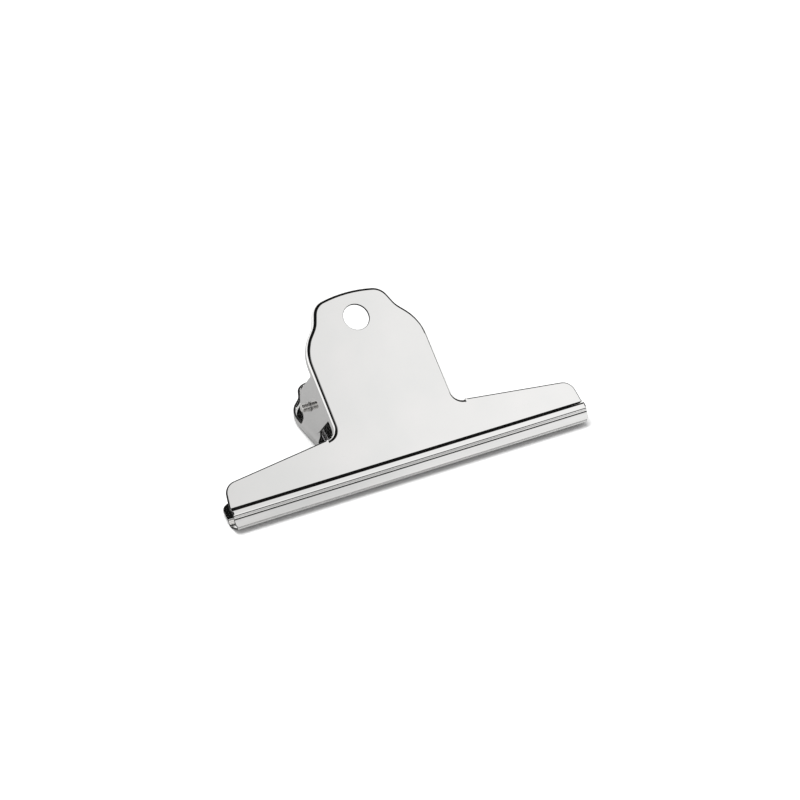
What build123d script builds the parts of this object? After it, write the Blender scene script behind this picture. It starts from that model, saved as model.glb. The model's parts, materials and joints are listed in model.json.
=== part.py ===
from build123d import *
import os
from math import acos, asin, atan2, cos, degrees, hypot, pi, radians, sin, tan

# A letter clip of the T-shaped bulldog kind: two pressed steel levers, hinged on a pin through
# their ears and held shut by a torsion spring wound round that pin.
#
# Each lever is drawn in its own axes: x along the jaw, y up the handle from the crease where the
# jaw begins, z out of the outer face. The finished clip lies shut on its rear lever, with X along
# the jaw, Z up, and the origin on the table under the middle of its outline.

# Sheet and its pressed edges
SHEET = 0.8
RIM_BEND = 0.6  # inside radius of the bend that turns the rim back
RIM_DEPTH = 3.2  # outer face to the rim's edge
RIM_FADE = 2.0  # stretch of wing over which the rim dies away to plain sheet

# Outline of a lever, from the jaw to the crown; each rise is measured from the station below it
JAW_LENGTH = 145.0
WING_HEIGHT = 14.55  # beside the handle
WING_END_HEIGHT = 9.0
WING_END_LEAN = 1.2
WING_CORNER_RADIUS = 5.0
WAIST_RADIUS = 4.0
HANDLE_WIDTH = 48.6  # of the front lever, whose ears are the inner pair
EAR_RISE = 6.95
EAR_WIDTH = 18.0
SHOULDER_RISE = 9.1
SHOULDER_RADIUS = 17.5
NECK_RISE = 8.1
NECK_RUN = 7.1  # from the handle's side in to the neck
NECK_RADIUS = 9.0
HEAD_RISE = 9.65
HEAD_RUN = 3.1  # from the neck in to the crown's corner
CORNER_RADIUS = 7.0
CROWN_RISE = 1.95  # crown's middle above its corners
HOLE_DIAMETER = 10.0
HOLE_DROP = 10.75  # crown to the middle of the hole

# Jaw, along the middle of the sheet: a ledge, a stiffening rib, a groove and the lip
LEDGE_BEND = 0.2  # inside radius of the bends at the ledge's foot and top
RIB_BEND = 0.6  # inside radius of the bend from the rib into the groove
LIP_BEND = 2.2  # radius of the hollow between the groove and the lip
LEDGE_RUN = 1.1
RIB_RISE = 1.35
RIB_WIDTH = 1.8
GROOVE_RUN = 0.95
GROOVE_RISE = 0.5
LIP_RUN = 3.3
LIP_DROP = 0.98
LIP_EDGE_FLAT = 0.2  # left between the two rounded corners of its edge
LIP_CORNER_RADIUS = 2.6
LIP_GAP = 0.2  # between the lips of the shut clip

# Hinge
PIN_RISE = 1.3  # of the pin above the middle of the ear
EAR_CLEARANCE = 5.7  # from an ear's end to the other lever
EAR_BLEND_RADIUS = 0.8
EAR_FOOTING = 0.3  # stretch of rim that the ear takes in beyond its blend
EAR_GAP = 0.15  # between the outer and the inner ear
PIN_DIAMETER = 3.0
PIN_CLEARANCE = 0.05  # on the radius
PIN_PROTRUSION = 2.4
PIN_CHAMFER = 0.35
RING_WALL = 0.35
RING_THICKNESS = 0.6
RING_GAP = 0.1

# Spring
WIRE_DIAMETER = 1.8
TURN_GAP = 0.5  # between neighbouring turns
COIL_CLEARANCE = 1.2  # between the pin and the coil
COIL_END_ROOM = 9.35  # between the coil and the inner ears, where the legs run out
FOOT_SETBACK = 2.6  # from the shoulder down to the bend of the foot
FOOT_LENGTH = 6.0
FOOT_BEND = 2.1  # inside radius
FOOT_GAP = 0.2  # between the wire and the handle


# Stations up the handle
ear_height = WING_HEIGHT + EAR_RISE + EAR_WIDTH / 2
pivot_height = ear_height + PIN_RISE
shoulder_height = ear_height + EAR_WIDTH / 2 + SHOULDER_RISE
neck_height = shoulder_height + NECK_RISE
handle_height = neck_height + HEAD_RISE

# Widths and depths that follow from the pieces which fit together
pivot_depth = SHEET + EAR_WIDTH / 2 + EAR_CLEARANCE
rear_handle_width = HANDLE_WIDTH + 2 * (SHEET + EAR_GAP)
pin_hole_radius = PIN_DIAMETER / 2 + PIN_CLEARANCE
rim_bend_radius = RIM_BEND + SHEET
ledge_bend_radius = LEDGE_BEND + SHEET / 2
rib_bend_radius = RIB_BEND + SHEET / 2
lip_bend_radius = LIP_BEND + SHEET / 2
lip_edge_radius = (SHEET - LIP_EDGE_FLAT) / 2

# Jaw section: corners of the sheet's middle line as (up the handle, out of the face)
flat_mid = -SHEET / 2
ledge_foot = Vector(0, flat_mid)
rib_top = ledge_foot + Vector(-LEDGE_RUN, RIB_RISE)
rib_end = rib_top + Vector(-RIB_WIDTH, 0)
lip_root = Vector(rib_end.X - GROOVE_RUN, flat_mid + GROOVE_RISE)
lip_tip = lip_root + Vector(-LIP_RUN, -LIP_DROP)
lip_dir = (lip_tip - lip_root).normalized()
lip_inward = Vector(-lip_dir.Y, lip_dir.X)
lip_edge_offset = lip_inward * (SHEET / 2 - lip_edge_radius)
lip_inner_edge = lip_tip - lip_dir * lip_edge_radius + lip_edge_offset
lip_outer_edge = lip_tip - lip_dir * lip_edge_radius - lip_edge_offset

# Half the angle between the levers when the two lips' inner edges all but touch
lip_out = lip_inner_edge.Y + pivot_depth
lip_down = pivot_height - lip_inner_edge.X
lip_clear = lip_edge_radius + LIP_GAP / 2
half_angle = acos(lip_clear / hypot(lip_out, lip_down)) - atan2(lip_down, lip_out)

# Lean of the rear lever on the table, which it meets with its rib and its crown
rib_turn = atan2(RIB_RISE, LEDGE_RUN)
rib_foot = Vector(rib_top.X - ledge_bend_radius * tan(rib_turn / 2), rib_top.Y - ledge_bend_radius)
rib_foot_radius = ledge_bend_radius + SHEET / 2
crown_foot = Vector(handle_height - rim_bend_radius, -rim_bend_radius)
foot_span = crown_foot - rib_foot
foot_turn = asin((rim_bend_radius - rib_foot_radius) / foot_span.length)
rear_lean = foot_turn + atan2(foot_span.Y, foot_span.X)
front_lean = rear_lean + 2 * half_angle
table_drop = rib_foot.Y * cos(rear_lean) - rib_foot.X * sin(rear_lean) + rib_foot_radius

# Directions up each handle and out of each face
rear_up = Vector(0, cos(rear_lean), sin(rear_lean))
rear_out = Vector(0, sin(rear_lean), -cos(rear_lean))
front_up = Vector(0, cos(front_lean), sin(front_lean))
front_out = Vector(0, -sin(front_lean), cos(front_lean))

# Places measured from the rear lever's crease, then moved so that the outline is centred
pivot_from_rear = rear_up * pivot_height - rear_out * pivot_depth
front_from_rear = pivot_from_rear - front_up * pivot_height + front_out * pivot_depth
rear_lip = rear_up * lip_outer_edge.X + rear_out * lip_outer_edge.Y
front_lip = front_from_rear + front_up * lip_outer_edge.X + front_out * lip_outer_edge.Y
crown_edge = rear_up * handle_height - rear_out * RIM_DEPTH
outline_low = min(rear_lip.Y, front_lip.Y) - lip_edge_radius
rear_origin = Vector(0, -(outline_low + crown_edge.Y) / 2, table_drop)
pivot = rear_origin + pivot_from_rear
rear_plane = Plane(rear_origin, x_dir=(-1, 0, 0), z_dir=rear_out)
front_plane = Plane(rear_origin + front_from_rear, x_dir=(1, 0, 0), z_dir=front_out)


def draw_outline(plane, handle_width):
    """Flat T of a lever, with every corner rounded but the two at the jaw."""
    neck = HANDLE_WIDTH / 2 - NECK_RUN
    right = [
        (JAW_LENGTH / 2, 0),
        (JAW_LENGTH / 2, SHEET),
        (JAW_LENGTH / 2 - WING_END_LEAN, WING_END_HEIGHT),
        (handle_width / 2, WING_HEIGHT),
        (handle_width / 2, shoulder_height),
        (neck, neck_height),
        (neck - HEAD_RUN, handle_height - CROWN_RISE),
    ]
    left = [(-x, y) for x, y in right]
    with BuildSketch(plane) as outline:
        with BuildLine():
            Polyline(right)
            ThreePointArc(right[-1], (0, handle_height), left[-1])
            Polyline(left)
            Line(left[0], right[0])
        make_face()
        # From the top down, so that the levels below keep their place in the list
        radii = [WING_CORNER_RADIUS, WAIST_RADIUS, SHOULDER_RADIUS, NECK_RADIUS, CORNER_RADIUS]
        for level, radius in reversed(list(enumerate(radii, start=2))):
            fillet(outline.vertices().group_by(Axis.Y)[level], radius)
    return outline.sketch


def make_wings(plane, outline, wing_start):
    """Plain cut sheet of the two wings, from beside the handle to their ends."""
    with BuildPart() as wings:
        extrude(outline, amount=-SHEET, dir=plane.z_dir)
        with BuildSketch(plane):
            Rectangle(2 * wing_start, 2 * handle_height)
        extrude(amount=SHEET, both=True, mode=Mode.SUBTRACT)
    return wings.part


def make_jaw(plane, section):
    """Rolled jaw strip: rib and lip, with the lip's ends rounded off."""
    with BuildPart() as jaw:
        with BuildSketch(section) as profile:
            with BuildLine():
                FilletPolyline(
                    (SHEET, flat_mid), ledge_foot, rib_top, rib_end, lip_root, lip_tip,
                    radius=[ledge_bend_radius, ledge_bend_radius, rib_bend_radius, lip_bend_radius],
                )
            trace(line_width=SHEET)
            lip_ends = profile.vertices().sort_by(Axis.X)[:2]
            fillet(lip_ends, lip_edge_radius)
        extrude(amount=JAW_LENGTH / 2, both=True)
        jaw_height = SHEET - lip_tip.X + SHEET
        with BuildSketch(plane) as plan:
            with Locations((0, SHEET - jaw_height / 2)):
                Rectangle(JAW_LENGTH, jaw_height)
            fillet(plan.vertices().group_by(Axis.Y)[0], LIP_CORNER_RADIUS)
        extrude(amount=RIM_DEPTH + RIB_RISE, both=True, mode=Mode.INTERSECT)
    return jaw.part


def make_lever(plane, handle_width):
    """One pressed lever: T plate with a turned-back rim, jaw, hanging hole and two ears."""
    up_axis = Axis(plane.origin, plane.y_dir)
    out_axis = Axis(plane.origin, plane.z_dir)
    section = Plane(plane.origin, x_dir=plane.y_dir, z_dir=plane.x_dir)
    across = Plane(plane.origin, x_dir=plane.x_dir, z_dir=-plane.y_dir)
    jaw = make_jaw(plane, section)
    outline = draw_outline(plane, handle_width)
    wing_start = handle_width / 2 + WAIST_RADIUS
    wings = make_wings(plane, outline, wing_start)

    with BuildPart() as lever:
        # Pan with a rim all round, open at the back and along the jaw
        extrude(outline, amount=-RIM_DEPTH, dir=plane.z_dir)
        face_edges = lever.faces().sort_by(out_axis)[-1].edges().sort_by(up_axis)
        fillet(face_edges[1:], rim_bend_radius)
        back = lever.faces().sort_by(out_axis)[0]
        foot = lever.faces().sort_by(up_axis)[0]
        offset(amount=-SHEET, openings=[back, foot])

        # The rim dies away beside the handle, and the wings carry on as plain sheet
        with BuildSketch(across):
            with BuildLine():
                Polyline(
                    (wing_start, -RIM_DEPTH), (wing_start + RIM_FADE, -SHEET),
                    (JAW_LENGTH, -SHEET), (JAW_LENGTH, -2 * RIM_DEPTH),
                    (wing_start, -2 * RIM_DEPTH), close=True,
                )
            make_face()
            mirror(about=Plane.YZ)
        extrude(amount=handle_height, both=True, mode=Mode.SUBTRACT)
        add(wings)
        add(jaw)

        with BuildSketch(plane):
            with Locations((0, handle_height - HOLE_DROP)):
                Circle(HOLE_DIAMETER / 2)
        extrude(amount=-2 * SHEET, mode=Mode.SUBTRACT)

        # Ears carry on from the rim and end in a half circle round the pin
        low = ear_height - EAR_WIDTH / 2
        high = ear_height + EAR_WIDTH / 2
        root = EAR_BLEND_RADIUS + EAR_FOOTING
        for side in (-1, 1):
            with BuildSketch(section.offset(side * handle_width / 2)):
                with BuildLine():
                    FilletPolyline(
                        (low - root, -RIM_DEPTH), (low, -RIM_DEPTH), (low, -pivot_depth),
                        radius=EAR_BLEND_RADIUS,
                    )
                    ThreePointArc(
                        (low, -pivot_depth), (ear_height, -pivot_depth - EAR_WIDTH / 2),
                        (high, -pivot_depth),
                    )
                    FilletPolyline(
                        (high, -pivot_depth), (high, -RIM_DEPTH), (high + root, -RIM_DEPTH),
                        radius=EAR_BLEND_RADIUS,
                    )
                    Polyline(
                        (high + root, -RIM_DEPTH), (high + root, -rim_bend_radius),
                        (low - root, -rim_bend_radius), (low - root, -RIM_DEPTH),
                    )
                make_face()
                with Locations((pivot_height, -pivot_depth)):
                    Circle(pin_hole_radius, mode=Mode.SUBTRACT)
            extrude(amount=-side * SHEET)
    return lever.part


# Levers
front_plate = make_lever(front_plane, HANDLE_WIDTH)
rear_plate = make_lever(rear_plane, rear_handle_width)

# Hinge pin, through both pairs of ears
pin_length = rear_handle_width + 2 * PIN_PROTRUSION
with BuildPart() as hinge_pin:
    with BuildSketch(Plane.YZ.offset(-pin_length / 2)):
        with Locations((pivot.Y, pivot.Z)):
            Circle(PIN_DIAMETER / 2)
    extrude(amount=pin_length)
    chamfer(hinge_pin.edges().filter_by(GeomType.CIRCLE), PIN_CHAMFER)

# Rings pushed on to the pin beside the outer ears
rings = []
for side in (-1, 1):
    with BuildPart() as ring:
        with BuildSketch(Plane.YZ.offset(side * (rear_handle_width / 2 + RING_GAP))):
            with Locations((pivot.Y, pivot.Z)):
                Circle(pin_hole_radius + RING_WALL)
                Circle(pin_hole_radius, mode=Mode.SUBTRACT)
        extrude(amount=side * RING_THICKNESS)
    rings.append(ring.part)

# Spring: as many whole turns as there is room for, besides the part turn between the legs
coil_pitch = WIRE_DIAMETER + TURN_GAP
coil_radius = PIN_DIAMETER / 2 + COIL_CLEARANCE + WIRE_DIAMETER / 2
coil_room = HANDLE_WIDTH - 2 * (SHEET + COIL_END_ROOM)
whole_turns = int(coil_room / coil_pitch)

# Where each straight leg leaves the coil on its way to its handle
foot_out = pivot_depth - SHEET - FOOT_GAP - WIRE_DIAMETER / 2
leg_reach = shoulder_height - FOOT_SETBACK - pivot_height
leg_turn = atan2(foot_out, leg_reach) - asin(coil_radius / hypot(foot_out, leg_reach))
middle_up = (front_up + rear_up).normalized()
middle_front = (front_out - rear_out).normalized()
leave_angle = pi / 2 + half_angle + leg_turn
coil_sweep = 2 * pi * whole_turns + 2 * (pi - leave_angle)
coil_length = coil_pitch * coil_sweep / (2 * pi)
axial_slope = coil_pitch / (2 * pi * coil_radius)
leg_length = (foot_out**2 + leg_reach**2 - coil_radius**2) ** 0.5 * hypot(1, axial_slope)
foot_bend_radius = FOOT_BEND + WIRE_DIAMETER / 2


def coil_point(share):
    """Place and direction of the wire at a share of the coil, from the rear leg to the front."""
    angle = -leave_angle - coil_sweep * share
    outward = middle_up * cos(angle) + middle_front * sin(angle)
    along = middle_up * sin(angle) - middle_front * cos(angle)
    place = pivot + Vector(coil_length * (share - 0.5), 0, 0) + outward * coil_radius
    return place, (along + Vector(axial_slope, 0, 0)).normalized()


def add_biarc(start, start_dir, end, end_dir):
    """Two arcs that leave and arrive along the given directions and share a tangent."""
    chord = end - start
    both = start_dir + end_dir
    bend = 2 * (1 - start_dir.dot(end_dir))
    reach = (-chord.dot(both) + (chord.dot(both) ** 2 + bend * chord.dot(chord)) ** 0.5) / bend
    first = start + start_dir * reach
    last = end - end_dir * reach
    middle = (first + last) * 0.5
    TangentArc(start, middle, tangent=start_dir)
    TangentArc(middle, end, tangent=(last - first).normalized())


def foot_points(start, leave_dir, handle_up):
    """Bend of the foot, from a leg that starts at the coil: bend start, bend end and tip."""
    corner = start + leave_dir * leg_length
    foot_dir = (handle_up + Vector(leave_dir.X, 0, 0)).normalized()
    cut_back = foot_bend_radius * tan(radians(leave_dir.get_angle(foot_dir)) / 2)
    return corner - leave_dir * cut_back, corner + foot_dir * cut_back, corner + foot_dir * FOOT_LENGTH


quarter_turns = round(coil_sweep / (pi / 2))
coil = [coil_point(i / quarter_turns) for i in range(quarter_turns + 1)]
rear_start, rear_dir = coil[0]
front_start, front_dir = coil[-1]
rear_bend, rear_foot, rear_tip = foot_points(rear_start, -rear_dir, rear_up)
front_bend, front_foot, front_tip = foot_points(front_start, front_dir, front_up)

with BuildPart() as torsion_spring:
    with BuildLine():
        Line(rear_tip, rear_foot)
        TangentArc(rear_foot, rear_bend, tangent=rear_foot - rear_tip)
        Line(rear_bend, rear_start)
        for (start, start_dir), (end, end_dir) in zip(coil, coil[1:]):
            add_biarc(start, start_dir, end, end_dir)
        Line(front_start, front_bend)
        TangentArc(front_bend, front_foot, tangent=front_dir)
        Line(front_foot, front_tip)
    with BuildSketch(Plane(rear_tip, z_dir=rear_foot - rear_tip)):
        Circle(WIRE_DIAMETER / 2)
    sweep()

# Least gap of the wire to itself, between points more than half a turn apart
samples_per_turn = 24
samples = round(samples_per_turn * coil_sweep / (2 * pi))
places = [coil_point(i / samples)[0] for i in range(samples + 1)]
least = min(
    (places[i] - places[j]).length
    for i in range(samples + 1)
    for j in range(i + samples_per_turn // 2, min(i + 2 * samples_per_turn, samples + 1))
)
print(f"spring: {coil_sweep / (2 * pi):.2f} turns, least gap {least - WIRE_DIAMETER:.2f} mm")
print(f"shut angle {degrees(2 * half_angle):.2f}, rear lean {degrees(rear_lean):.2f}, pivot {tuple(pivot)}")

# One file for each piece
pieces = {
    "front_plate": front_plate,
    "rear_plate": rear_plate,
    "hinge_pin": hinge_pin.part,
    "torsion_spring": torsion_spring.part,
    "left_retaining_ring": rings[0],
    "right_retaining_ring": rings[1],
}
os.makedirs("parts", exist_ok=True)
for name, piece in pieces.items():
    piece.label = name
    export_step(piece, f"parts/{name}.step")
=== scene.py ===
# %% [markdown]
# # A bulldog clip in bright nickel plate
#
# The clip is two pressed levers, a pin, two rings and a spring. Its shape and size come from the
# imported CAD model, which is loaded first and never moved. This lesson gives each piece the edges,
# the finish and the light that the real clip shows.

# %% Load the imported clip
import json
import math

import bmesh
import bpy
from mathutils import Matrix, Vector


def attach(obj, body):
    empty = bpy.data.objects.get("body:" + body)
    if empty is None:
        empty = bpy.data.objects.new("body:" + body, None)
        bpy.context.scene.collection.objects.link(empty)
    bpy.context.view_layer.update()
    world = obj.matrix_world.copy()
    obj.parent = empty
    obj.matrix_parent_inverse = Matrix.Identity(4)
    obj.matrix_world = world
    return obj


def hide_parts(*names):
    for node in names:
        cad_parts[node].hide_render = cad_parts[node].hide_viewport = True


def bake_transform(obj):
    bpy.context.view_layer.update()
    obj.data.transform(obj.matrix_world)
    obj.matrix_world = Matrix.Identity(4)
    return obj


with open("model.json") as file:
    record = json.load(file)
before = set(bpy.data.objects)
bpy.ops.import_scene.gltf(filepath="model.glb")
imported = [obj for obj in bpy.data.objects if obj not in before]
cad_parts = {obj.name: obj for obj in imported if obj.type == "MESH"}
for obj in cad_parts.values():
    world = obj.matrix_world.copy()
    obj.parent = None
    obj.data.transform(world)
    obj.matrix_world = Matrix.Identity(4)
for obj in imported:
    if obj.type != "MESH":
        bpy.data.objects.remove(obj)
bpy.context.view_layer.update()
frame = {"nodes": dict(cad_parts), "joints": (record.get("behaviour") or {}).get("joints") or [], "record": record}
MM = 0.001
X_AXIS = Vector((1, 0, 0))
scene = bpy.context.scene
scene.view_settings.view_transform = "Standard"

# %% [markdown]
# ## Camera
#
# The photograph was taken from the front left, a third of the way up, with a long lens that keeps
# the jaw's two ends almost the same size. A camera that is aimed at a point and turned by three
# angles says the same thing in words, so those are the values that are written down here.

# %% Place the camera
AIM = Vector((4.5, -14.38, 20.0)) * MM
CAMERA_DISTANCE = 917.6 * MM
CAMERA_AZIMUTH = math.radians(-27.6)
CAMERA_ELEVATION = math.radians(33.6)
CAMERA_ROLL = math.radians(-0.4)
SENSOR = 36.0
LENS = 112.5
CLIP_START = 10 * MM

camera = bpy.data.objects.new("camera", bpy.data.cameras.new("camera"))
scene.collection.objects.link(camera)
scene.camera = camera
camera.data.sensor_width = SENSOR
camera.data.lens = LENS
camera.data.clip_start = CLIP_START
backwards = Vector((
    math.sin(CAMERA_AZIMUTH) * math.cos(CAMERA_ELEVATION),
    -math.cos(CAMERA_AZIMUTH) * math.cos(CAMERA_ELEVATION),
    math.sin(CAMERA_ELEVATION),
))
upright = (-backwards).to_track_quat("-Z", "Y").to_matrix().to_4x4()
rolled = upright @ Matrix.Rotation(CAMERA_ROLL, 4, "Z")
camera.matrix_world = Matrix.Translation(AIM + backwards * CAMERA_DISTANCE) @ rolled
print("camera at", [round(place, 3) for place in camera.location])

# %% [markdown]
# ## Sheet with rounded edges
#
# A pressed sheet never has a knife edge: the die and the plating leave a small round that catches
# the light as a thin line. The CAD solids are sharp. A Bevel modifier on them would fail, because
# their triangles aren't joined, so each piece starts as a merged copy of its node whose sharp edges
# are bevelled. Weighted normals then keep the large flats flat in reflections.

# %% Helpers that copy a node, round its edges and put it in the node's place
SHARP_ANGLE = math.radians(40)
FLAT_ANGLE = math.radians(0.1)
MERGE_DISTANCE = 0.002 * MM
FLAT_WEIGHT = 100  # the largest face at a corner sets its normal
FINE_STEPS = 2
WIDE_STEPS = 4


def merged_copy(node):
    """A bmesh of a CAD node with its triangles joined and its flats made whole."""
    shape = bmesh.new()
    shape.from_mesh(frame["nodes"][node].data)
    bmesh.ops.remove_doubles(shape, verts=shape.verts, dist=MERGE_DISTANCE)
    bmesh.ops.dissolve_limit(
        shape, angle_limit=FLAT_ANGLE, verts=shape.verts, edges=shape.edges,
        use_dissolve_boundaries=False, delimit=set(),
    )
    return shape


def sharp_edges(item):
    """The edges of a bmesh, or of one of its faces, that aren't part of a bend."""
    return [edge for edge in item.edges if edge.calc_face_angle(0) > SHARP_ANGLE]


def round_edges(shape, edges, size, steps):
    """Bevel some edges, and return the faces that this makes."""
    return bmesh.ops.bevel(
        shape, geom=edges, offset=size, offset_type="OFFSET", affect="EDGES",
        segments=steps, profile=0.5, material=-1, clamp_overlap=False,
    )["faces"]


def finish_piece(shape, name):
    """Turn a bmesh into a smooth-shaded object whose large faces stay flat."""
    for face in shape.faces:
        face.smooth = True
    mesh = bpy.data.meshes.new(name)
    shape.to_mesh(mesh)
    shape.free()
    piece = bpy.data.objects.new(name, mesh)
    scene.collection.objects.link(piece)
    normals = piece.modifiers.new("flat_flats", "WEIGHTED_NORMAL")
    normals.mode = "FACE_AREA"
    normals.weight = FLAT_WEIGHT
    print(name, "has", len(mesh.polygons), "faces")
    return piece


def stand_for(piece, node, body):
    """Put a piece in the place of a CAD node: attach it to a body and hide the node."""
    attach(piece, body)
    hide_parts(node)


# %% Directions of the two levers
mounts = {mount["name"]: mount for mount in frame["record"]["mounts"]}
front_out = Vector(mounts["front_hanging_hole"]["axis"])
rear_out = Vector(mounts["rear_hanging_hole"]["axis"])
rear_hole = Vector(mounts["rear_hanging_hole"]["pos_m"])
pivot = Vector(frame["joints"][0]["pos_m"])
front_up = front_out.cross(X_AXIS)
rear_up = X_AXIS.cross(rear_out)
shut_angle = front_up.angle(rear_up)
print("angle between the shut levers:", round(math.degrees(shut_angle), 2))

# %% [markdown]
# ## Levers
#
# Both levers come from one die, but one pair of ears has to go inside the other. The photograph
# shows the front ears outside. The CAD model has them the other way round, so here the sides of
# the rear handle are drawn in to the front handle's width, and a small jog takes its ears in
# between the front ones. Two cuts across the ears give the jog its edges, and moving the vertices
# does the rest without a new shape. The rear ears are also a little narrower on the jaw's side,
# where the photograph shows the dark inside of the clip between the ear and the wing.
#
# The die leaves each cut edge of the sheet dull, and rounds it over on the side that the punch came
# from. Cut faces are found by their width, which is the thickness of the sheet, and marked for a
# nearly black colour of their own: painted dark reflection and shade, for the thin dark lines along
# the edges. Only then are the edges bevelled: widely along the outer faces of the wings, less round
# the hole, and finely everywhere else. The wide rounds take the same painted dark colour.

# %% Helpers for the levers
SHEET = 0.8 * MM
PUNCH_ROUND = 0.45 * MM
HOLE_ROUND = 0.2 * MM
BACK_ROUND = 0.08 * MM
WING_ROOT = 29.2 * MM  # from the middle to where the wings have left the handle's bent rim
OUTER_FLAT = 0.999  # least cosine between the outer flat's normal and the way it faces
NARROWEST_CUT = 0.6 * SHEET
WIDEST_CUT = 1.2 * SHEET
PAINTED_EDGE_SLOT = 1  # slot of the painted dark edge: painted dark reflection and shade; plated faces keep slot 0

# How far in the rear lever's sides go, and how much further its ears go
SIDE_SHIFT = 0.95 * MM
EAR_SHIFT = 0.95 * MM
# Start and end of the jog, from the rear plate towards the front one
JOG_START = 2.9 * MM
JOG_END = 5.1 * MM
# From the middle to outside the hanging hole, and to outside the handle
HOLE_REACH = 12.0 * MM
HANDLE_REACH = 32.0 * MM
# Heights above the rear hole, along the lever
WAIST_HEIGHT = -50.0 * MM
SHOULDER_HEIGHT = -14.5 * MM
NECK_HEIGHT = 1.0 * MM
EAR_FOOT_HEIGHT = -36.0 * MM
# Where the rear ears begin, out from the middle and above the plate, and how much of the half in
# front of the pin is left
EAR_INSIDE = 20.0 * MM
EAR_BASE = 2.7 * MM
FRONT_SHARE = 0.62
PIN_KEEP = 2.0 * MM  # round the pin's axis, where nothing moves


def share_between(value, start, end):
    """0 up to a start, 1 from an end on, and the share of the way between them."""
    return min(max((value - start) / (end - start), 0.0), 1.0)


def ease(share):
    """Slow a share down at both ends."""
    return share * share * (3 - 2 * share)


def cut_across(shape, place, direction):
    """Give every face that a plane crosses an edge along that plane."""
    everything = [*shape.verts, *shape.edges, *shape.faces]
    bmesh.ops.bisect_plane(
        shape, geom=everything, dist=MERGE_DISTANCE, plane_co=place, plane_no=direction,
    )


def draw_in_sides(shape):
    """Move the rear handle's sides towards the middle up to the shoulder, and its ears further."""
    for depth in (JOG_START, JOG_END):
        cut_across(shape, rear_hole - depth * rear_out, rear_out)
    for corner in shape.verts:
        height = (corner.co - rear_hole).dot(rear_up)
        depth = (rear_hole - corner.co).dot(rear_out)
        if height > WAIST_HEIGHT and HOLE_REACH < abs(corner.co.x) < HANDLE_REACH:
            inwards = SIDE_SHIFT * ease(share_between(height, NECK_HEIGHT, SHOULDER_HEIGHT))
            inwards += EAR_SHIFT * share_between(depth, JOG_START, JOG_END)
            corner.co.x -= math.copysign(inwards, corner.co.x)


def narrow_ears(shape):
    """Draw the jaw side of the rear ears back towards the pin."""
    pin_height = (pivot - rear_hole).dot(rear_up)
    for corner in shape.verts:
        height = (corner.co - rear_hole).dot(rear_up)
        depth = (rear_hole - corner.co).dot(rear_out)
        beside_pin = (corner.co - pivot).cross(X_AXIS).length < PIN_KEEP
        on_ear = abs(corner.co.x) > EAR_INSIDE and depth > EAR_BASE and not beside_pin
        if on_ear and EAR_FOOT_HEIGHT < height < pin_height:
            corner.co += (1 - FRONT_SHARE) * (pin_height - height) * rear_up


def mark_painted_cut_faces(shape):
    """Mark faces as narrow as the sheet is thick, between sharp edges, for the painted dark edge."""
    for face in shape.faces:
        length = sum(edge.calc_length() for edge in sharp_edges(face))
        if length and NARROWEST_CUT < 2 * face.calc_area() / length < WIDEST_CUT:
            face.material_index = PAINTED_EDGE_SLOT
    print("cut faces:", sum(face.material_index == PAINTED_EDGE_SLOT for face in shape.faces))


def outer_edges(shape, outward, low, high):
    """Sharp edges of the flat that faces outward, between two distances from the middle."""
    return [
        edge for edge in sharp_edges(shape)
        if any(face.normal.dot(outward) > OUTER_FLAT for face in edge.link_faces)
        and all(low <= abs(corner.co.x) < high for corner in edge.verts)
    ]


def round_lever(shape, outward):
    """Round a lever's edges, those of the wings and the hole more widely on the outside, and paint those wide
    rounds dark as painted reflection and shade.
    """
    for side in (-1, 1):
        cut_across(shape, side * WING_ROOT * X_AXIS, X_AXIS)
    wings = (WING_ROOT - MERGE_DISTANCE, math.inf, PUNCH_ROUND)
    hole = (0.0, HOLE_REACH, HOLE_ROUND)
    for low, high, size in (wings, hole):
        edges = outer_edges(shape, outward, low, high)
        # The wide rounds take the painted dark edge colour: painted dark reflection and shade
        for face in round_edges(shape, edges, size, WIDE_STEPS):
            face.material_index = PAINTED_EDGE_SLOT
    round_edges(shape, sharp_edges(shape), BACK_ROUND, FINE_STEPS)


# %% Make the levers
front_shape = merged_copy("front_plate")
rear_shape = merged_copy("rear_plate")
draw_in_sides(rear_shape)
narrow_ears(rear_shape)
for shape, outward in ((front_shape, front_out), (rear_shape, rear_out)):
    mark_painted_cut_faces(shape)
    round_lever(shape, outward)
front_lever = finish_piece(front_shape, "front_lever_sheet")
rear_lever = finish_piece(rear_shape, "rear_lever_sheet")
stand_for(front_lever, "front_plate", "front_lever")
stand_for(rear_lever, "rear_plate", "rear_lever")

# %% [markdown]
# ## Pin and rings
#
# The pin is a plain rod with chamfered ends, and a thin ring beside each outer ear keeps it from
# sliding out. Both are turned parts, so their edges are broken in the same way as the sheet's. The
# rings move in as far as the rear lever's sides do, to lie beside the front ears.

# %% Make the pin and the rings
TURNED_ROUND = 0.1 * MM


def make_turned(node, name, along=0.0):
    """A turned piece with broken edges, moved along the pin if asked."""
    shape = merged_copy(node)
    bmesh.ops.translate(shape, verts=shape.verts, vec=along * X_AXIS)
    round_edges(shape, sharp_edges(shape), TURNED_ROUND, FINE_STEPS)
    piece = finish_piece(shape, name)
    stand_for(piece, node, "rear_lever")
    return piece


pin = make_turned("hinge_pin", "hinge_rod")
rings = [
    make_turned(f"{side}_retaining_ring", f"{side}_ring", along)
    for side, along in (("left", SIDE_SHIFT), ("right", -SIDE_SHIFT))
]

# %% [markdown]
# ## Spring
#
# A spring machine pushes wire forward and bends it as it goes: a foot, a bend, a leg, the coil,
# and the same again in reverse. The same can be done with a circle of vertices, which is extruded
# for each straight run and spun for each bend, so the wire is one unbroken tube. A curve with a
# round bevel would be quicker to write, but its helix would need a list of worked-out points.

# %% Bend the wire
WIRE_RADIUS = 0.9 * MM
WIRE_SIDES = 16
COIL_RADIUS = 3.6 * MM  # to the middle of the wire
COIL_PITCH = 2.3 * MM
WHOLE_TURNS = 12
STEPS_PER_TURN = 28
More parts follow.
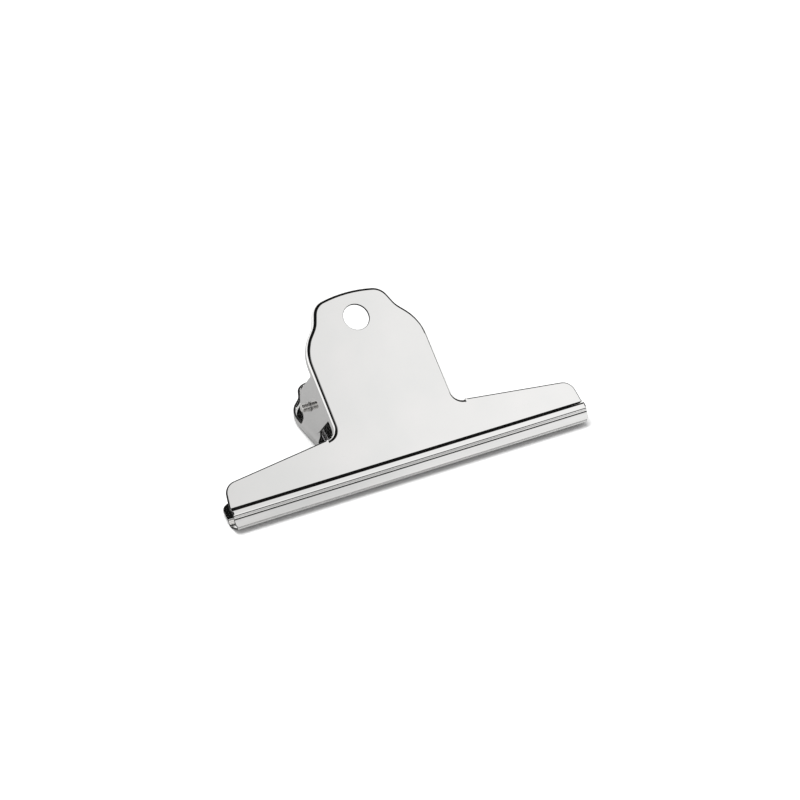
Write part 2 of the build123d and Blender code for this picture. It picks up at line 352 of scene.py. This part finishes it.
# A leg's angle to the handle that it pushes on, and its length from the coil to the foot's corner,
# both measured on the CAD spring
LEG_TURN = math.radians(33.2136)
LEG_LENGTH = 19.429 * MM
FOOT_LENGTH = 6.0 * MM
FOOT_BEND_RADIUS = 3.0 * MM
FOOT_STEPS = 8
WIRE_END_ROUND = 0.25 * MM
WIRE_END_STEPS = 3


def feed(shape, loop, path):
    """Push the end of the wire straight on, and return its new end loop."""
    new = bmesh.ops.extrude_edge_only(shape, edges=loop)["geom"]
    corners = [item for item in new if isinstance(item, bmesh.types.BMVert)]
    bmesh.ops.translate(shape, verts=corners, vec=path)
    return [
        item for item in new
        if isinstance(item, bmesh.types.BMEdge) and all(corner in corners for corner in item.verts)
    ]


def wind(shape, loop, centre, axis, angle, steps, climb):
    """Turn the end of the wire round an axis while it climbs, and return its new end loop."""
    spun = bmesh.ops.spin(
        shape, geom=loop, cent=centre, axis=axis, angle=angle, steps=steps, dvec=climb / steps,
        use_merge=False, use_duplicate=False,
    )
    return [item for item in spun["geom_last"] if isinstance(item, bmesh.types.BMEdge)]


def bend_foot(shape, loop, place, heading, new_heading):
    """Bend the wire from one heading to another round the foot's radius."""
    axis = heading.cross(new_heading).normalized()
    centre = place + axis.cross(heading) * FOOT_BEND_RADIUS
    return wind(shape, loop, centre, axis, heading.angle(new_heading), FOOT_STEPS, Vector())


# Where the wire meets the coil at each end, and its heading there
middle_up = (front_up + rear_up).normalized()
leave_angle = math.pi / 2 + shut_angle / 2 + LEG_TURN
coil_sweep = 2 * math.pi * WHOLE_TURNS + 2 * (math.pi - leave_angle)
coil_length = COIL_PITCH * coil_sweep / (2 * math.pi)
climb_per_angle = X_AXIS * coil_length / coil_sweep
spoke = Matrix.Rotation(-leave_angle, 3, X_AXIS) @ middle_up
coil_start = pivot - X_AXIS * coil_length / 2 + spoke * COIL_RADIUS
start_heading = (spoke.cross(X_AXIS) * COIL_RADIUS + climb_per_angle).normalized()
last_spoke = Matrix.Rotation(-leave_angle - coil_sweep, 3, X_AXIS) @ middle_up
coil_end = pivot + X_AXIS * coil_length / 2 + last_spoke * COIL_RADIUS
end_heading = (last_spoke.cross(X_AXIS) * COIL_RADIUS + climb_per_angle).normalized()

# Headings along the two feet, and what the bends take off the straight runs
rear_foot_heading = (X_AXIS * start_heading.x - rear_up).normalized()
front_foot_heading = (X_AXIS * end_heading.x + front_up).normalized()
rear_cut = FOOT_BEND_RADIUS * math.tan(rear_foot_heading.angle(start_heading) / 2)
front_cut = FOOT_BEND_RADIUS * math.tan(end_heading.angle(front_foot_heading) / 2)
rear_corner = coil_start - start_heading * LEG_LENGTH
front_bend = coil_end + end_heading * (LEG_LENGTH - front_cut)

wire = bmesh.new()
tip = rear_corner - rear_foot_heading * FOOT_LENGTH
square_on = rear_foot_heading.to_track_quat("Z", "Y").to_matrix().to_4x4()
bmesh.ops.create_circle(
    wire, segments=WIRE_SIDES, radius=WIRE_RADIUS, matrix=Matrix.Translation(tip) @ square_on,
)
loop = feed(wire, wire.edges[:], rear_foot_heading * (FOOT_LENGTH - rear_cut))
rear_bend = rear_corner - rear_foot_heading * rear_cut
loop = bend_foot(wire, loop, rear_bend, rear_foot_heading, start_heading)
loop = feed(wire, loop, start_heading * (LEG_LENGTH - rear_cut))
coil_steps = round(STEPS_PER_TURN * coil_sweep / (2 * math.pi))
loop = wind(wire, loop, pivot, X_AXIS, -coil_sweep, coil_steps, X_AXIS * coil_length)
loop = feed(wire, loop, end_heading * (LEG_LENGTH - front_cut))
loop = bend_foot(wire, loop, front_bend, end_heading, front_foot_heading)
feed(wire, loop, front_foot_heading * (FOOT_LENGTH - front_cut))
ends = [edge for edge in wire.edges if edge.is_boundary]
bmesh.ops.holes_fill(wire, edges=ends, sides=WIRE_SIDES)
bmesh.ops.recalc_face_normals(wire, faces=wire.faces)
round_edges(wire, ends, WIRE_END_ROUND, WIRE_END_STEPS)
spring = finish_piece(wire, "spring_coil")
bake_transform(spring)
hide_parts("torsion_spring")

# %% [markdown]
# ## Plated steel
#
# Bright nickel is a mirror with a faint haze. What tells it from a computer's perfect mirror is
# unevenness: patches where the polish is a little duller, fine lines along the way the strip was
# rolled, and a ripple of a few thousandths of a millimetre that makes reflections waver. Noise
# on object coordinates gives all three, and stretching the noise along one axis gives the lines.

# %% Helpers for metal finishes
# Where most values of a noise lie
NOISE_LOW = 0.3
NOISE_HIGH = 0.7


def start_metal(name):
    """A metal material with object coordinates ready to use."""
    material = bpy.data.materials.new(name)
    material.use_nodes = True
    shader = material.node_tree.nodes["Principled BSDF"]
    shader.inputs["Metallic"].default_value = 1.0
    coords = material.node_tree.nodes.new("ShaderNodeTexCoord")
    return material.node_tree, shader, coords.outputs["Object"], material


def add_noise(tree, coords, scale, detail=2.0):
    """Noise whose scale, in waves per metre, may differ along X, Y and Z."""
    mapping = tree.nodes.new("ShaderNodeMapping")
    mapping.inputs["Scale"].default_value = scale
    noise = tree.nodes.new("ShaderNodeTexNoise")
    noise.inputs["Scale"].default_value = 1.0
    noise.inputs["Detail"].default_value = detail
    tree.links.new(coords, mapping.inputs["Vector"])
    tree.links.new(mapping.outputs["Vector"], noise.inputs["Vector"])
    return noise.outputs["Fac"]


def add_range(tree, value, low, high):
    """Spread the middle of a noise between two values."""
    spread = tree.nodes.new("ShaderNodeMapRange")
    spread.inputs["From Min"].default_value = NOISE_LOW
    spread.inputs["From Max"].default_value = NOISE_HIGH
    spread.inputs["To Min"].default_value = low
    spread.inputs["To Max"].default_value = high
    tree.links.new(value, spread.inputs["Value"])
    return spread.outputs["Result"]


def add_sum(tree, first, second):
    """Add two values."""
    total = tree.nodes.new("ShaderNodeMath")
    total.operation = "ADD"
    tree.links.new(first, total.inputs[0])
    tree.links.new(second, total.inputs[1])
    return total.outputs["Value"]


def add_tint(tree, value, dark, light):
    """A colour that a noise moves between two close tones."""
    tint = tree.nodes.new("ShaderNodeMix")
    tint.data_type = "RGBA"
    tint.inputs["A"].default_value = (*dark, 1.0)
    tint.inputs["B"].default_value = (*light, 1.0)
    tree.links.new(add_range(tree, value, 0.0, 1.0), tint.inputs["Factor"])
    return tint.outputs["Result"]


def add_bump(tree, shader, height):
    """Use a height in metres as bump."""
    bump = tree.nodes.new("ShaderNodeBump")
    bump.inputs["Distance"].default_value = 1.0
    tree.links.new(height, bump.inputs["Height"])
    tree.links.new(bump.outputs["Normal"], shader.inputs["Normal"])


# %% Nickel on the pressed sheet
HAZE_SCALE = (60, 60, 60)
ROLLING_SCALE = (25, 1400, 1400)
RIPPLE_SCALE = (140, 180, 180)
NICKEL_TONES = ((0.86, 0.86, 0.85), (0.90, 0.89, 0.88))
HAZE_ROUGH = (0.035, 0.065)
ROLLING_ROUGH = (0.0, 0.02)
ROLLING_HEIGHT = 0.0001 * MM
RIPPLE_HEIGHT = 0.002 * MM


def nickel_sheet():
    """Bright nickel over rolled strip, with the strip's lines along the jaw."""
    tree, shader, coords, material = start_metal("nickel_sheet")
    haze = add_noise(tree, coords, HAZE_SCALE)
    rolling = add_noise(tree, coords, ROLLING_SCALE)
    ripple = add_noise(tree, coords, RIPPLE_SCALE, detail=1.0)
    tree.links.new(add_tint(tree, haze, *NICKEL_TONES), shader.inputs["Base Color"])
    dull = add_range(tree, haze, *HAZE_ROUGH)
    rough = add_sum(tree, dull, add_range(tree, rolling, *ROLLING_ROUGH))
    tree.links.new(rough, shader.inputs["Roughness"])
    lines = add_range(tree, rolling, 0.0, ROLLING_HEIGHT)
    waves = add_range(tree, ripple, 0.0, RIPPLE_HEIGHT)
    add_bump(tree, shader, add_sum(tree, lines, waves))
    return material


# %% Cut edges of the sheet, with painted dark reflection and shade
CUT_SCALE = (700, 700, 700)
# Nearly black: painted dark reflection and shade, for the thin dark lines along the sheet's edges
PAINTED_DARK_EDGE_TONES = ((0.03, 0.03, 0.03), (0.06, 0.06, 0.06))
CUT_ROUGH = (0.35, 0.50)
TEARING_HEIGHT = 0.006 * MM


def painted_dark_edge():
    """Dull face of a punched or sheared edge, painted nearly black: painted dark reflection and shade."""
    tree, shader, coords, material = start_metal("painted_dark_edge")
    tearing = add_noise(tree, coords, CUT_SCALE, detail=3.0)
    tree.links.new(add_tint(tree, tearing, *PAINTED_DARK_EDGE_TONES), shader.inputs["Base Color"])
    tree.links.new(add_range(tree, tearing, *CUT_ROUGH), shader.inputs["Roughness"])
    add_bump(tree, shader, add_range(tree, tearing, 0.0, TEARING_HEIGHT))
    return material


# Each lever takes the nickel first, then the painted dark edge for its cut faces and wide rounds
sheet_nickel_and_painted_edge = (nickel_sheet(), painted_dark_edge())
for lever in (front_lever, rear_lever):
    for finish in sheet_nickel_and_painted_edge:
        lever.data.materials.append(finish)

# %% Turned and drawn steel
TURNING_SCALE = (2500, 90, 90)
DRAWING_SCALE = (900, 900, 900)
PATCH_SCALE = (250, 250, 250)
PIN_TONES = ((0.78, 0.77, 0.75), (0.84, 0.83, 0.81))
RING_TONES = ((0.72, 0.71, 0.70), (0.80, 0.79, 0.78))
TURNED_ROUGH = (0.38, 0.48)
TURNING_ROUGH = (0.0, 0.04)
TURNING_HEIGHT = 0.0005 * MM
WIRE_TONES = ((0.33, 0.33, 0.34), (0.47, 0.47, 0.48))
WIRE_ROUGH = (0.22, 0.32)
GRAIN_ROUGH = (0.0, 0.08)
GRAIN_HEIGHT = 0.004 * MM


def turned_steel(name, tones):
    """Plated rod with the fine rings that turning leaves round it."""
    tree, shader, coords, material = start_metal(name)
    turning = add_noise(tree, coords, TURNING_SCALE)
    patch = add_noise(tree, coords, PATCH_SCALE)
    tree.links.new(add_tint(tree, patch, *tones), shader.inputs["Base Color"])
    dull = add_range(tree, patch, *TURNED_ROUGH)
    rough = add_sum(tree, dull, add_range(tree, turning, *TURNING_ROUGH))
    tree.links.new(rough, shader.inputs["Roughness"])
    add_bump(tree, shader, add_range(tree, turning, 0.0, TURNING_HEIGHT))
    return material


def drawn_wire():
    """Dark spring wire with the dull, patchy skin that drawing and tempering leave."""
    tree, shader, coords, material = start_metal("drawn_wire")
    grain = add_noise(tree, coords, DRAWING_SCALE, detail=4.0)
    patch = add_noise(tree, coords, PATCH_SCALE)
    tree.links.new(add_tint(tree, patch, *WIRE_TONES), shader.inputs["Base Color"])
    dull = add_range(tree, patch, *WIRE_ROUGH)
    rough = add_sum(tree, dull, add_range(tree, grain, *GRAIN_ROUGH))
    tree.links.new(rough, shader.inputs["Roughness"])
    add_bump(tree, shader, add_range(tree, grain, 0.0, GRAIN_HEIGHT))
    return material


pin.data.materials.append(turned_steel("turned_pin", PIN_TONES))
ring_finish = turned_steel("turned_ring", RING_TONES)
for ring in rings:
    ring.data.materials.append(ring_finish)
spring.data.materials.append(drawn_wire())
print("finishes:", [material.name for material in bpy.data.materials if material.users])

# %% [markdown]
# ## Studio
#
# A mirror shows only what stands round it, so the light on this clip is mostly a question of what
# it reflects. The photographer's room is white, with a dark ceiling behind and to the left of the
# clip and a dark gap low in front. Black cloths that only the metal sees stand for those, and a
# grey card stands for the table close to the clip. The floor itself is white and takes the shadow.

# %% Helpers for the studio
WHITE = (1, 1, 1, 1)


def add_plane(name, low, high, material):
    """A flat sheet between two corners that share one coordinate."""
    low, high = Vector(low), Vector(high)
    span = high - low
    across, along = [axis for axis in range(3) if span[axis]]
    spread = Matrix.Diagonal((0, 0, 0, 1))
    spread[across][0] = span[across]
    spread[along][1] = span[along]
    place = Matrix.Translation((low + high) / 2)
    mesh = bpy.data.meshes.new(name)
    shape = bmesh.new()
    bmesh.ops.create_grid(shape, x_segments=1, y_segments=1, size=0.5, matrix=place @ spread)
    shape.to_mesh(mesh)
    shape.free()
    plane = bpy.data.objects.new(name, mesh)
    scene.collection.objects.link(plane)
    plane.data.materials.append(material)
    print(name, "spans", [round(side, 2) for side in span], "metres")
    return plane


def only_in_reflections(plane):
    """Let the metal see a sheet that neither the camera nor the lamps see."""
    plane.visible_camera = False
    plane.visible_diffuse = False
    plane.visible_shadow = False


def add_ramp(tree, value, stops):
    """A smooth grey ramp through pairs of place and level."""
    first, last = stops[0][0], stops[-1][0]
    place = tree.nodes.new("ShaderNodeMapRange")
    place.inputs["From Min"].default_value = first
    place.inputs["From Max"].default_value = last
    ramp = tree.nodes.new("ShaderNodeValToRGB")
    while len(ramp.color_ramp.elements) < len(stops):
        ramp.color_ramp.elements.new(1.0)
    for element, (position, level) in zip(ramp.color_ramp.elements, stops):
        element.position = (position - first) / (last - first)
        element.color = (level, level, level, 1.0)
    tree.links.new(value, place.inputs["Value"])
    tree.links.new(place.outputs["Result"], ramp.inputs["Fac"])
    return ramp.outputs["Color"]


def seen_factor(tree):
    """1 for camera, glossy and transmission rays, 0 for the rays that light the scene."""
    path = tree.nodes.new("ShaderNodeLightPath")
    sight = add_sum(tree, path.outputs["Is Camera Ray"], path.outputs["Is Glossy Ray"])
    return add_sum(tree, sight, path.outputs["Is Transmission Ray"])


# %% White floor that keeps the shadow
FLOOR_REACH = 4.0
FLOOR_WHITE = 0.95
FLOOR_ROUGH = 0.9

floor_paint = bpy.data.materials.new("floor_paint")
floor_paint.use_nodes = True
floor_shader = floor_paint.node_tree.nodes["Principled BSDF"]
floor_shader.inputs["Base Color"].default_value = (FLOOR_WHITE, FLOOR_WHITE, FLOOR_WHITE, 1)
floor_shader.inputs["Roughness"].default_value = FLOOR_ROUGH
floor_shader.inputs["Specular IOR Level"].default_value = 0.0
add_plane("floor", (-FLOOR_REACH, -FLOOR_REACH, 0), (FLOOR_REACH, FLOOR_REACH, 0), floor_paint)

# %% Grey card round the clip
CARD_REACH = 0.3
CARD_STOPS = [(0.08, 0.0), (0.17, 1.0)]  # metres from the clip, and how clear the card is there
CARD_GREY = 0.35
CARD_HEIGHT = 0.05 * MM
CARD_LOW = (-CARD_REACH, -CARD_REACH, CARD_HEIGHT)
CARD_HIGH = (CARD_REACH, CARD_REACH, CARD_HEIGHT)


def fading_sheet(name, grey):
    """A matt material that a factor fades to clear, with its tree and the factor's socket."""
    material = bpy.data.materials.new(name)
    material.use_nodes = True
    tree = material.node_tree
    shader = tree.nodes["Principled BSDF"]
    shader.inputs["Base Color"].default_value = (grey, grey, grey, 1)
    shader.inputs["Specular IOR Level"].default_value = 0.0
    clear = tree.nodes.new("ShaderNodeBsdfTransparent")
    mix = tree.nodes.new("ShaderNodeMixShader")
    tree.links.new(shader.outputs["BSDF"], mix.inputs[1])
    tree.links.new(clear.outputs["BSDF"], mix.inputs[2])
    tree.links.new(mix.outputs["Shader"], tree.nodes["Material Output"].inputs["Surface"])
    return material, tree, mix.inputs["Fac"]


card_paper, tree, card_fade = fading_sheet("card_paper", CARD_GREY)
coords = tree.nodes.new("ShaderNodeTexCoord").outputs["Object"]
distance = tree.nodes.new("ShaderNodeVectorMath")
distance.operation = "LENGTH"
tree.links.new(coords, distance.inputs[0])
tree.links.new(add_ramp(tree, distance.outputs["Value"], CARD_STOPS), card_fade)
only_in_reflections(add_plane("grey_card", CARD_LOW, CARD_HIGH, card_paper))

# %% Black cloths overhead and in front
CLOTH_BLACK = 0.01
CEILING = 1.0
CEILING_LOW = (-1.9, -0.8, CEILING)
CEILING_HIGH = (2.5, 1.6, CEILING)
FRONT = -1.0
FRONT_LOW = (-1.5, FRONT, 0.0)
FRONT_HIGH = (2.5, FRONT, 0.66)
# How clear the ceiling is, in metres to the right and to the back of the clip
CEILING_TO_RIGHT = [(-0.40, 0.0), (0.05, 0.30), (0.20, 0.62), (0.30, 0.80), (0.46, 0.93), (0.62, 1.0)]
CEILING_TO_BACK = [(-0.35, 1.0), (-0.27, 0.0)]
# How clear the front is, in metres above the floor and to the right of the clip
FRONT_UPWARDS = [(0.34, 0.0), (0.58, 1.0)]
FRONT_TO_RIGHT = [(0.36, 0.8), (0.48, 1.0)]


def hang_cloth(name, low, high, **clear_along):
    """Black cloth between two corners, as clear as the product of its ramps along two axes."""
    material, tree, fade = fading_sheet(name, CLOTH_BLACK)
    coords = tree.nodes.new("ShaderNodeTexCoord").outputs["Object"]
    split = tree.nodes.new("ShaderNodeSeparateXYZ")
    tree.links.new(coords, split.inputs["Vector"])
    clear = tree.nodes.new("ShaderNodeMath")
    clear.operation = "MULTIPLY"
    for socket, (axis, stops) in zip(clear.inputs, clear_along.items()):
        tree.links.new(add_ramp(tree, split.outputs[axis], stops), socket)
    tree.links.new(clear.outputs["Value"], fade)
    only_in_reflections(add_plane(name, low, high, material))


hang_cloth("ceiling_cloth", CEILING_LOW, CEILING_HIGH, X=CEILING_TO_RIGHT, Y=CEILING_TO_BACK)
hang_cloth("front_cloth", FRONT_LOW, FRONT_HIGH, Z=FRONT_UPWARDS, X=FRONT_TO_RIGHT)

# %% World and lamp
AMBIENT = 0.68
LAMP_SIZE = 0.6
LAMP_WATTS = 7.6
LAMP_PLACE = (-0.2, 0.05, 0.9)

world = bpy.data.worlds.new("white_room")
scene.world = world
world.use_nodes = True
tree = world.node_tree
light = tree.nodes["Background"]
light.inputs["Color"].default_value = WHITE
light.inputs["Strength"].default_value = AMBIENT
seen = tree.nodes.new("ShaderNodeBackground")
seen.inputs["Color"].default_value = WHITE
mix = tree.nodes.new("ShaderNodeMixShader")
tree.links.new(seen_factor(tree), mix.inputs["Fac"])
tree.links.new(light.outputs["Background"], mix.inputs[1])
tree.links.new(seen.outputs["Background"], mix.inputs[2])
tree.links.new(mix.outputs["Shader"], tree.nodes["World Output"].inputs["Surface"])

lamp = bpy.data.objects.new("softbox", bpy.data.lights.new("softbox", "AREA"))
scene.collection.objects.link(lamp)
lamp.data.shape = "RECTANGLE"
lamp.data.size = LAMP_SIZE
lamp.data.size_y = LAMP_SIZE
lamp.data.energy = LAMP_WATTS
lamp.location = LAMP_PLACE
lamp.rotation_euler = (-Vector(LAMP_PLACE)).to_track_quat("-Z", "Y").to_euler()
lamp.visible_glossy = False
print("lit by a white room at", AMBIENT, "and a softbox of", LAMP_WATTS, "watts")
